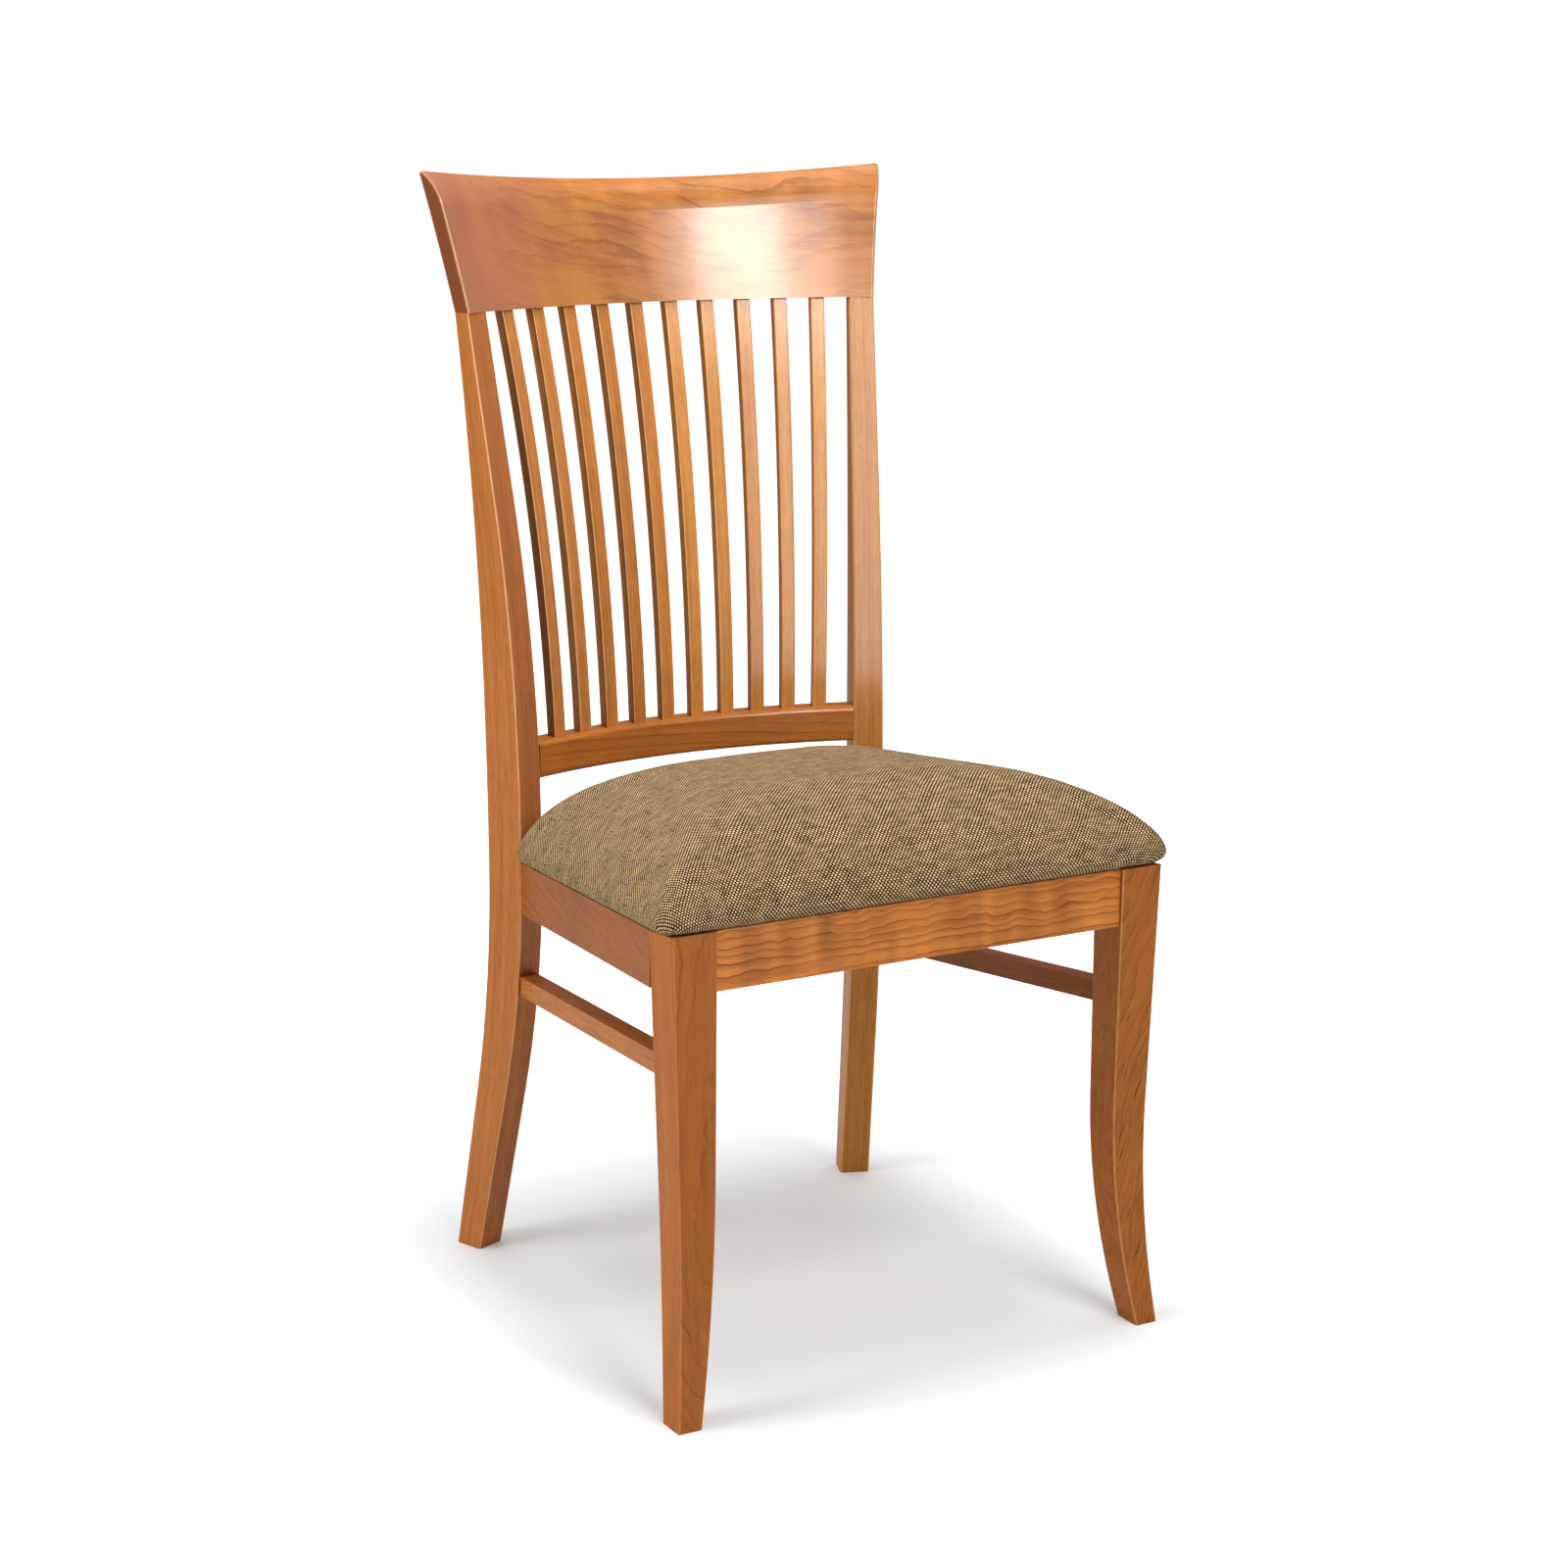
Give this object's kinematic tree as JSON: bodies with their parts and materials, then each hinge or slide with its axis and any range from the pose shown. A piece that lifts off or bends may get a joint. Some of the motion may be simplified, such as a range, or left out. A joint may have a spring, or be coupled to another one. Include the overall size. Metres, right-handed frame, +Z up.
{
  "type": "side chair",
  "caption": "Armless wooden dining chair with a bowed slatted back, a curved crest rail, flared legs and a thick padded fabric seat.",
  "frame": {"origin": "on the floor, in the middle of the chair's overall width and depth", "axes": "+Z up, the chair's front towards -Y, +X to the right of someone who looks at it from the front"},
  "size_m": [0.5192, 0.5608, 1.0385],
  "materials": {
    "cherry": "satin",
    "blockwood": "matte",
    "plywood": "matte",
    "upholstery": "woven",
    "screw_steel": "plain"
  },
  "bodies": {
    "root": {"front_leg_left": "cherry", "front_leg_right": "cherry", "back_post_left": "cherry", "back_post_right": "cherry", "side_apron_left": "cherry", "side_apron_right": "cherry", "side_stretcher_left": "cherry", "side_stretcher_right": "cherry", "front_apron": "cherry", "back_apron": "cherry", "lower_back_rail": "cherry", "crest_rail": "cherry", "back_slat_01": "cherry", "back_slat_02": "cherry", "back_slat_03": "cherry", "back_slat_04": "cherry", "back_slat_05": "cherry", "back_slat_06": "cherry", "back_slat_07": "cherry", "back_slat_08": "cherry", "back_slat_09": "cherry", "back_slat_10": "cherry", "corner_block_front_left": "blockwood", "corner_block_front_right": "blockwood", "corner_block_rear_left": "blockwood", "corner_block_rear_right": "blockwood", "seat_base": "plywood", "seat_pad": "upholstery", "seat_screws": "screw_steel"}
  },
  "joints": []
}
